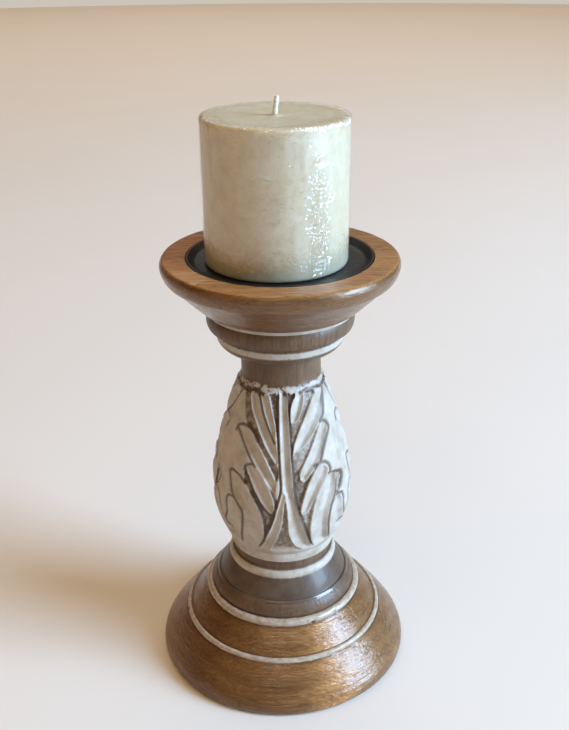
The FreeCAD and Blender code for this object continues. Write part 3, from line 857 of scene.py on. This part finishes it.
def build_spindle():
    def plain_part(radius, height):
        return height < 44.9 or height > 225 or radius < 16

    rows, paint, sharp = trace(SPINDLE, 0.66, 5.0, plain_part)
    x, y, z, around = turned_grid(rows, SPINDLE_COLUMNS)
    around = np.broadcast_to(around, x.shape)
    on_body = (z > CARVED_LOW) & (z < CARVED_HIGH) & (rows[:, :1] > 20)
    depth = np.zeros(x.shape)
    ground, cut, glaze_and_shade = (np.zeros(x.shape) for _ in range(3))
    random = np.random.default_rng(5)
    for leaf in range(LEAVES):
        centre = 360.0 / LEAVES * leaf
        local = (around - centre + 180) % 360 - 180
        chosen = on_body & (np.abs(local) < LEAF_REACH)
        u = np.radians(local[chosen]) * body_radius(z[chosen])
        amount = 0.0 if leaf == 0 else LEAF_WOBBLE

        def wobble():
            return random.normal(0, 1, 2) * amount

        for grid, values in zip((depth, ground, cut, glaze_and_shade),
                                carve_leaf(u, z[chosen], wobble)):
            grid[chosen] = np.maximum(grid[chosen], values)
    # The knife work fades into the smooth band under the leaves, and its floors are rough.
    fade = band(z, *KNIFE_WORK)
    rough = noise(x, y, z, 1.5, 31, 2)
    depth = depth * fade
    depth += (ground > 0) * fade * (0.25 * rough + 0.12 * noise(x, y, z, 0.7, 32))
    depth += on_body * 0.05 * noise(x, y, z * 0.3, 1.2, 33, 2)
    ground, cut, glaze_and_shade = ground * fade, cut * fade, glaze_and_shade * fade
    visible = (rows[:, :1] > 16) & (rows[:, 1:] > 45.5) & (rows[:, 1:] < 225.3)
    move = -depth + 0.10 * noise(x, y, z, 20.0, 34, 2)
    # Upright tool chatter on the plinth's band and on the collar's bead.
    chatter = np.maximum(band(z, *PLINTH_BAND), band(z, *COLLAR_BEAD))
    move -= 0.13 * chatter * noise(x, y, z * 0.12, 0.9, 35, 2)
    move = np.where(visible, move, 0)
    # How much wash stays: full on the body and the painted bands, none on the brown turnings.
    wash = np.clip(np.broadcast_to(paint[:, None], x.shape) / 1.1, -1.2, 1.0)
    ragged = z + 1.5 * noise(x, y, z * 0.4, 5.0, 36, 3)
    shoulder = (z > 181) & (z < 200)
    wash = np.where(shoulder, np.minimum(wash, 1.0 - 2.2 * smooth(182.6, 187.4, ragged)), wash)
    worn_band = band(z, *WORN_PAINT)
    wash = wash - 0.9 * worn_band * smooth(0.2, 0.7, noise(x, y, z * 1.5, 2.2, 40, 3))
    patchy = band(z, 178.5, 181.5, 188, 190)
    patches = smooth(-0.10, 0.35, noise(x, y, z * 1.4, 1.7, 37, 3))
    patches = patches * (1 - 0.65 * smooth(22, 40, around) * (1 - smooth(60, 80, around)))
    wash = wash - 1.3 * patchy * patches
    worn = smooth(-0.5, 0.4, rough + 0.25)
    # Less wash and more darkness on the gouges' far walls, which face away from the light: brown
    # glazing mixed with painted shade.
    wash = wash - 1.5 * ground * worn - 0.9 * cut - 0.8 * glaze_and_shade
    stain_and_shade = np.clip(0.78 * ground + 0.8 * cut + 0.45 * glaze_and_shade + 0.5 * patchy * patches, 0, 1)
    quirks = sum(np.exp(-np.hypot(rows[:, 0] - r, rows[:, 1] - h) / 0.7)
                 for r, h in ((43.3, 45.2), (38.6, 53.4), (29.2, 69.6), (29.3, 74.8),
                              (34.9, 206.0), (35.4, 211.0), (40.3, 225.6), (22.4, 197.8)))
    stain_and_shade = np.maximum(stain_and_shade, np.clip(quirks, 0, 1)[:, None] * 0.9)
    dark_band = band(z, *DARK_BAND)
    stain_and_shade = np.maximum(stain_and_shade, dark_band * (0.45 + 0.3 * noise(x, y, z * 0.1, 1.1, 38, 2)))
    stain_and_shade = np.maximum(stain_and_shade, 0.30 * band(z, 211, 212, 222, 222.4)
                       * (0.8 + 0.6 * noise(x, y, z * 0.1, 1.1, 39, 2)))
    satin = band(rows[:, 1:], *LACQUER)
    gloss = band(z, *POLISHED_LEDGE)
    turned("carved_spindle", rows, SPINDLE_COLUMNS, move, "root", carved,
           ("spindle",), sharp > HARD_TURN,
           {"wash": wash, "stain_and_shade": stain_and_shade, "satin": satin, "gloss": gloss})


# ---- dish
DISH = [
    side(0.0, 248.2), side(45.4, 248.2), bulge(46.6, 248.8, 2.2), side(49.8, 251.4),
    side(49.8, 252.3), side(48.9, 252.3), side(46.0, 249.8), hollow(44.8, 249.2, 2.2),
    side(0.0, 249.2),
]
DISH_COLUMNS = 360


def build_dish():
    rows, _, sharp = trace(DISH, 0.6, 3.0, lambda radius, height: radius < 30)
    x, y, z, _ = turned_grid(rows, DISH_COLUMNS)
    top = (rows[:, 1:] > 249.0) & (rows[:, :1] < 49.6)
    move = np.where(top, 0.06 * noise(x, y, z * 0, 9.0, 41, 2), 0)
    turned("metal_dish", rows, DISH_COLUMNS, move, "dish", metal, ("dish",),
           sharp > HARD_TURN)


# ---- candle
WAX_COLUMNS, FILM_COLUMNS = 320, 384
FILM_GAP, FILM_THICKNESS = 0.08, 0.1


def build_wax():
    outline = [
        side(9.0, WAX_FOOT), side(WAX_RADIUS - 1.4, WAX_FOOT),
        bulge(WAX_RADIUS, WAX_FOOT + 1.4, 1.41), side(WAX_RADIUS, WAX_TOP - 1.4),
        bulge(WAX_RADIUS - 1.4, WAX_TOP, 1.41), side(1.3, WAX_TOP),
        side(1.3, WAX_FOOT + 8.0), side(2.1, WAX_FOOT + 8.0), side(2.1, WAX_FOOT + 0.3),
        side(9.0, WAX_FOOT + 0.3),
    ]
    rows, _, sharp = trace(outline, 1.0)
    x, y, z, _ = turned_grid(rows, WAX_COLUMNS)
    shown = (rows[:, :1] > 3) & (rows[:, 1:] > WAX_FOOT + 1)
    move = np.where(shown, -0.10 + 0.10 * noise(x, y, z, 18.0, 51, 2)
                    + 0.04 * noise(x, y, z, 4.0, 52), 0)
    # The wax dips a little as it sets, then climbs the wick.
    radius = np.hypot(x, y)
    dip = -0.45 * (1 - smooth(8, 34, radius)) + 0.9 * np.exp(-((radius - 1.3) / 1.5) ** 2)
    lift = np.where(rows[:, 1:] > WAX_TOP - 0.05, dip, 0)
    turned("pillar_wax", rows, WAX_COLUMNS, move, "candle", wax, ("candle_wax",),
           sharp > HARD_TURN_SOFT_PIECE, None, CANDLE_X, lift)


def build_film():
    """Both faces of the film run from its edge on the top, down the side and under the foot."""
    opening = WAX_RADIUS - 8.8
    inner = WAX_RADIUS + FILM_GAP
    edge = 1.5
    top, foot = WAX_TOP + FILM_GAP, WAX_FOOT + 0.02
    outline = [
        side(opening, foot - 0.12), side(inner - edge, foot - 0.12),
        bulge(inner + FILM_THICKNESS, foot + edge, edge + 0.13),
        side(inner + FILM_THICKNESS, top - edge),
        bulge(inner - edge, top + FILM_THICKNESS, edge + 0.13),
        side(opening, top + FILM_THICKNESS), side(opening, top), side(inner - edge, top),
        hollow(inner, top - edge, edge + 0.01), side(inner, foot + edge),
        hollow(inner - edge, foot, edge + 0.01), side(opening, foot),
    ]
    rows, _, sharp = trace(outline, 0.85)
    x, y, z, around = turned_grid(rows, FILM_COLUMNS)
    normals = outline_normals(rows)
    centre = np.array([inner - 6.0, 0.0])
    faces_out = ((rows[:, 0] - centre[0]) * normals[:, 0]
                 + np.where(rows[:, 1] > (top + foot) / 2, rows[:, 1] - top + 4,
                            rows[:, 1] - foot - 4) * normals[:, 1]) > 0
    # Creases: long upright ones, a puckered top edge, and a crumpled patch at the right front.
    upright = np.abs(noise(x, y, z * 0.16, 5.0, 61, 2))
    creases = 0.30 * smooth(0.0, 0.22, upright)
    pucker = np.exp(-((z - WAX_TOP + 1.2) / 1.8) ** 2)
    creases += pucker * 0.95 * np.abs(noise(x, y, z * 0.3, 2.3, 62, 2))
    patch = np.exp(-((around - 34) / 8) ** 2) * smooth(foot + 0.5, foot + 5, z) * (
        1 - smooth(top - 34, top - 16, z))
    creases += patch * 0.60 * np.abs(noise(x, y, z, 3.4, 63, 2))
    creases += np.exp(-((z - foot - 4) / 3.5) ** 2) * 0.25 * np.abs(noise(x, y, z, 3.0, 64, 2))
    creases *= smooth(opening, opening + 3, rows[:, :1]) * smooth(foot + 0.4, foot + 1.6, z)
    side_share = smooth(inner - 3.0, inner - 0.8, rows[:, :1])
    upright_fold = np.exp(-((around - 33) / 5.0) ** 2) * smooth(foot + 2, foot + 20, z) * (
        1 - smooth(top - 22, top - 8, z))
    crumple = np.clip(0.10 + 0.9 * patch + 0.6 * upright_fold + 0.35 * pucker, 0, 1) * side_share
    gloss = 0.25 + 0.75 * side_share
    sign = np.where(faces_out, 1.0, -1.0)[:, None]
    turned("shrink_film", rows, FILM_COLUMNS, sign * creases, "candle", film,
           ("candle_film",), sharp > HARD_TURN_SOFT_PIECE,
           {"crumple": crumple, "gloss": gloss}, CANDLE_X)


WICK_OUT, WICK_CUT, WICK_COLUMNS = 9.0, 0.6, 48


def build_wick():
    """Three cotton strands plaited round each other, leaning a little, with a cut end."""
    foot, tip = WAX_FOOT, WAX_TOP + WICK_OUT
    heights = np.concatenate([np.linspace(foot, WAX_TOP - 1, 12), np.linspace(WAX_TOP, tip, 40)])
    columns = WICK_COLUMNS
    angles = np.arange(columns) / columns * 2 * math.pi
    vertices, faces = [], []
    for index, height in enumerate(heights):
        above = max(height - WAX_TOP, 0)
        lean_x = 0.9 * math.sin(above / WICK_OUT * 1.6) * above / WICK_OUT
        lean_y = 0.35 * above / WICK_OUT
        end = max(0.0, above - (WICK_OUT - WICK_CUT)) / WICK_CUT
        for angle in angles:
            strands = abs(math.cos(1.5 * (angle - height * 0.85)))
            radius = (1.04 + 0.24 * strands) * (1 - 0.35 * end * end)
            vertices.append(((CANDLE_X + lean_x + radius * math.cos(angle)) * MM,
                             (lean_y + radius * math.sin(angle)) * MM,
                             (height + 0.18 * end * strands) * MM))
        if index:
            low, high = (index - 1) * columns, index * columns
            for i in range(columns):
                j = (i + 1) % columns
                faces.append((low + i, low + j, high + j, high + i))
    faces.append(tuple(range(columns))[::-1])
    faces.append(tuple((len(heights) - 1) * columns + i for i in range(columns)))
    mesh = bpy.data.meshes.new("cotton_wick")
    mesh.from_pydata(vertices, [], faces)
    mesh.polygons.foreach_set("use_smooth", [True] * (len(faces) - 2) + [False] * 2)
    place("cotton_wick", mesh, "candle", wick_cotton, ("wick",))


build_base()
build_cup()
build_spindle()
build_dish()
build_wax()
build_film()
build_wick()
for name, finish in (("felt_disc", felt_cloth), ("base_screw", steel), ("cup_screw", steel),
                     ("base_washer", steel), ("wick_tab", tin)):
    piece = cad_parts[name]
    for kept_slot in piece.material_slots:
        kept_slot.link = "OBJECT"
        kept_slot.material = finish


# ---- studio
FLOOR_SIZE, WALL_RADIUS, WALL_HEIGHT = 40.0, 5.5, 8.0


def add_floor():
    bpy.ops.mesh.primitive_plane_add(size=FLOOR_SIZE)
    floor = bpy.context.object
    floor.name = "studio_floor"
    made, tree = material("studio_floor")
    point = millimetres(tree)
    tone = grain(point, 260.0, 2.0)
    colour = mix(tone, (0.74, 0.685, 0.61), (0.77, 0.715, 0.64))
    finish_material(Base_Color=colour, Roughness=0.7)
    floor.data.materials.append(made)


def add_wall():
    """A pale round wall that only the camera sees, so that it leaves the light as it is."""
    bpy.ops.mesh.primitive_cylinder_add(vertices=128, radius=WALL_RADIUS, depth=WALL_HEIGHT,
                                        end_fill_type="NOTHING", location=(0, 0, WALL_HEIGHT / 2))
    wall = bpy.context.object
    wall.name = "studio_wall"
    made, tree = material("studio_wall")
    height = fed("ShaderNodeSeparateXYZ", {0: millimetres(tree)}).outputs[2]
    colour = ramp(level(height, -4000.0, -2200.0), (0.0, (0.60, 0.55, 0.49)),
                  (1.0, (0.80, 0.78, 0.75)))
    glow = fed("ShaderNodeEmission", {"Color": colour})
    output(glow)
    wall.data.materials.append(made)
    wall.visible_diffuse = wall.visible_glossy = wall.visible_transmission = False
    wall.visible_shadow = False


def add_light(name, azimuth, elevation, distance, width, height, power, colour,
              target=(0, 0, 0.17)):
    """A soft box at an azimuth, from the front towards the right, aimed at the target."""
    light = bpy.data.lights.new(name, "AREA")
    light.shape = "RECTANGLE"
    light.size, light.size_y = width, height
    light.energy = power
    light.color = colour
    lamp = bpy.data.objects.new(name, light)
    bpy.context.scene.collection.objects.link(lamp)
    turn, rise = math.radians(azimuth), math.radians(elevation)
    lamp.matrix_world = (Matrix.Translation(target) @ Matrix.Rotation(turn, 4, "Z")
                         @ Matrix.Rotation(math.pi / 2 - rise, 4, "X")
                         @ Matrix.Translation((0, 0, distance)))


add_floor()
add_wall()
add_light("window", 72, 22, 3.0, 1.4, 2.2, 248.0, (0.46, 0.69, 1.0))
add_light("lamp", -8, 46, 2.6, 1.3, 0.28, 7.0, (1.0, 0.88, 0.70))
add_light("fill", -50, 12, 2.6, 1.8, 1.8, 8.0, (1.0, 0.55, 0.18))
add_light("backdrop", 0, 90, 3.2, 5.0, 4.0, 78.0, (1.0, 0.95, 0.90), (0, 3.8, 0))
sky = bpy.data.lights.new("ceiling", "SUN")
sky.energy = 0.92
sky.angle = math.radians(70)
sky.color = (1.0, 0.63, 0.28)
sky_lamp = bpy.data.objects.new("ceiling", sky)
sky_lamp.rotation_euler = (math.radians(8), math.radians(-6), 0)
bpy.context.scene.collection.objects.link(sky_lamp)

world = bpy.data.worlds.new("studio")
world.use_nodes = True
background = world.node_tree.nodes["Background"]
background.inputs["Color"].default_value = (1.0, 0.74, 0.46, 1.0)
background.inputs["Strength"].default_value = 0.08
bpy.context.scene.world = world

camera_data = bpy.data.cameras.new("camera")
camera_data.sensor_width = 36.0
camera_data.lens = 45.9
camera = bpy.data.objects.new("camera", camera_data)
bpy.context.scene.collection.objects.link(camera)
CAMERA_PITCH, CAMERA_YAW, CAMERA_ROLL = 0.4391, 0.0042, 0.0072
camera.matrix_world = (Matrix.Translation((0.0, -0.47169, 0.40887))
                       @ Matrix.Rotation(-CAMERA_YAW, 4, "Z")
                       @ Matrix.Rotation(math.pi / 2 - CAMERA_PITCH, 4, "X")
                       @ Matrix.Rotation(-CAMERA_ROLL, 4, "Z"))
bpy.context.scene.camera = camera
bpy.context.scene.view_settings.view_transform = "Standard"
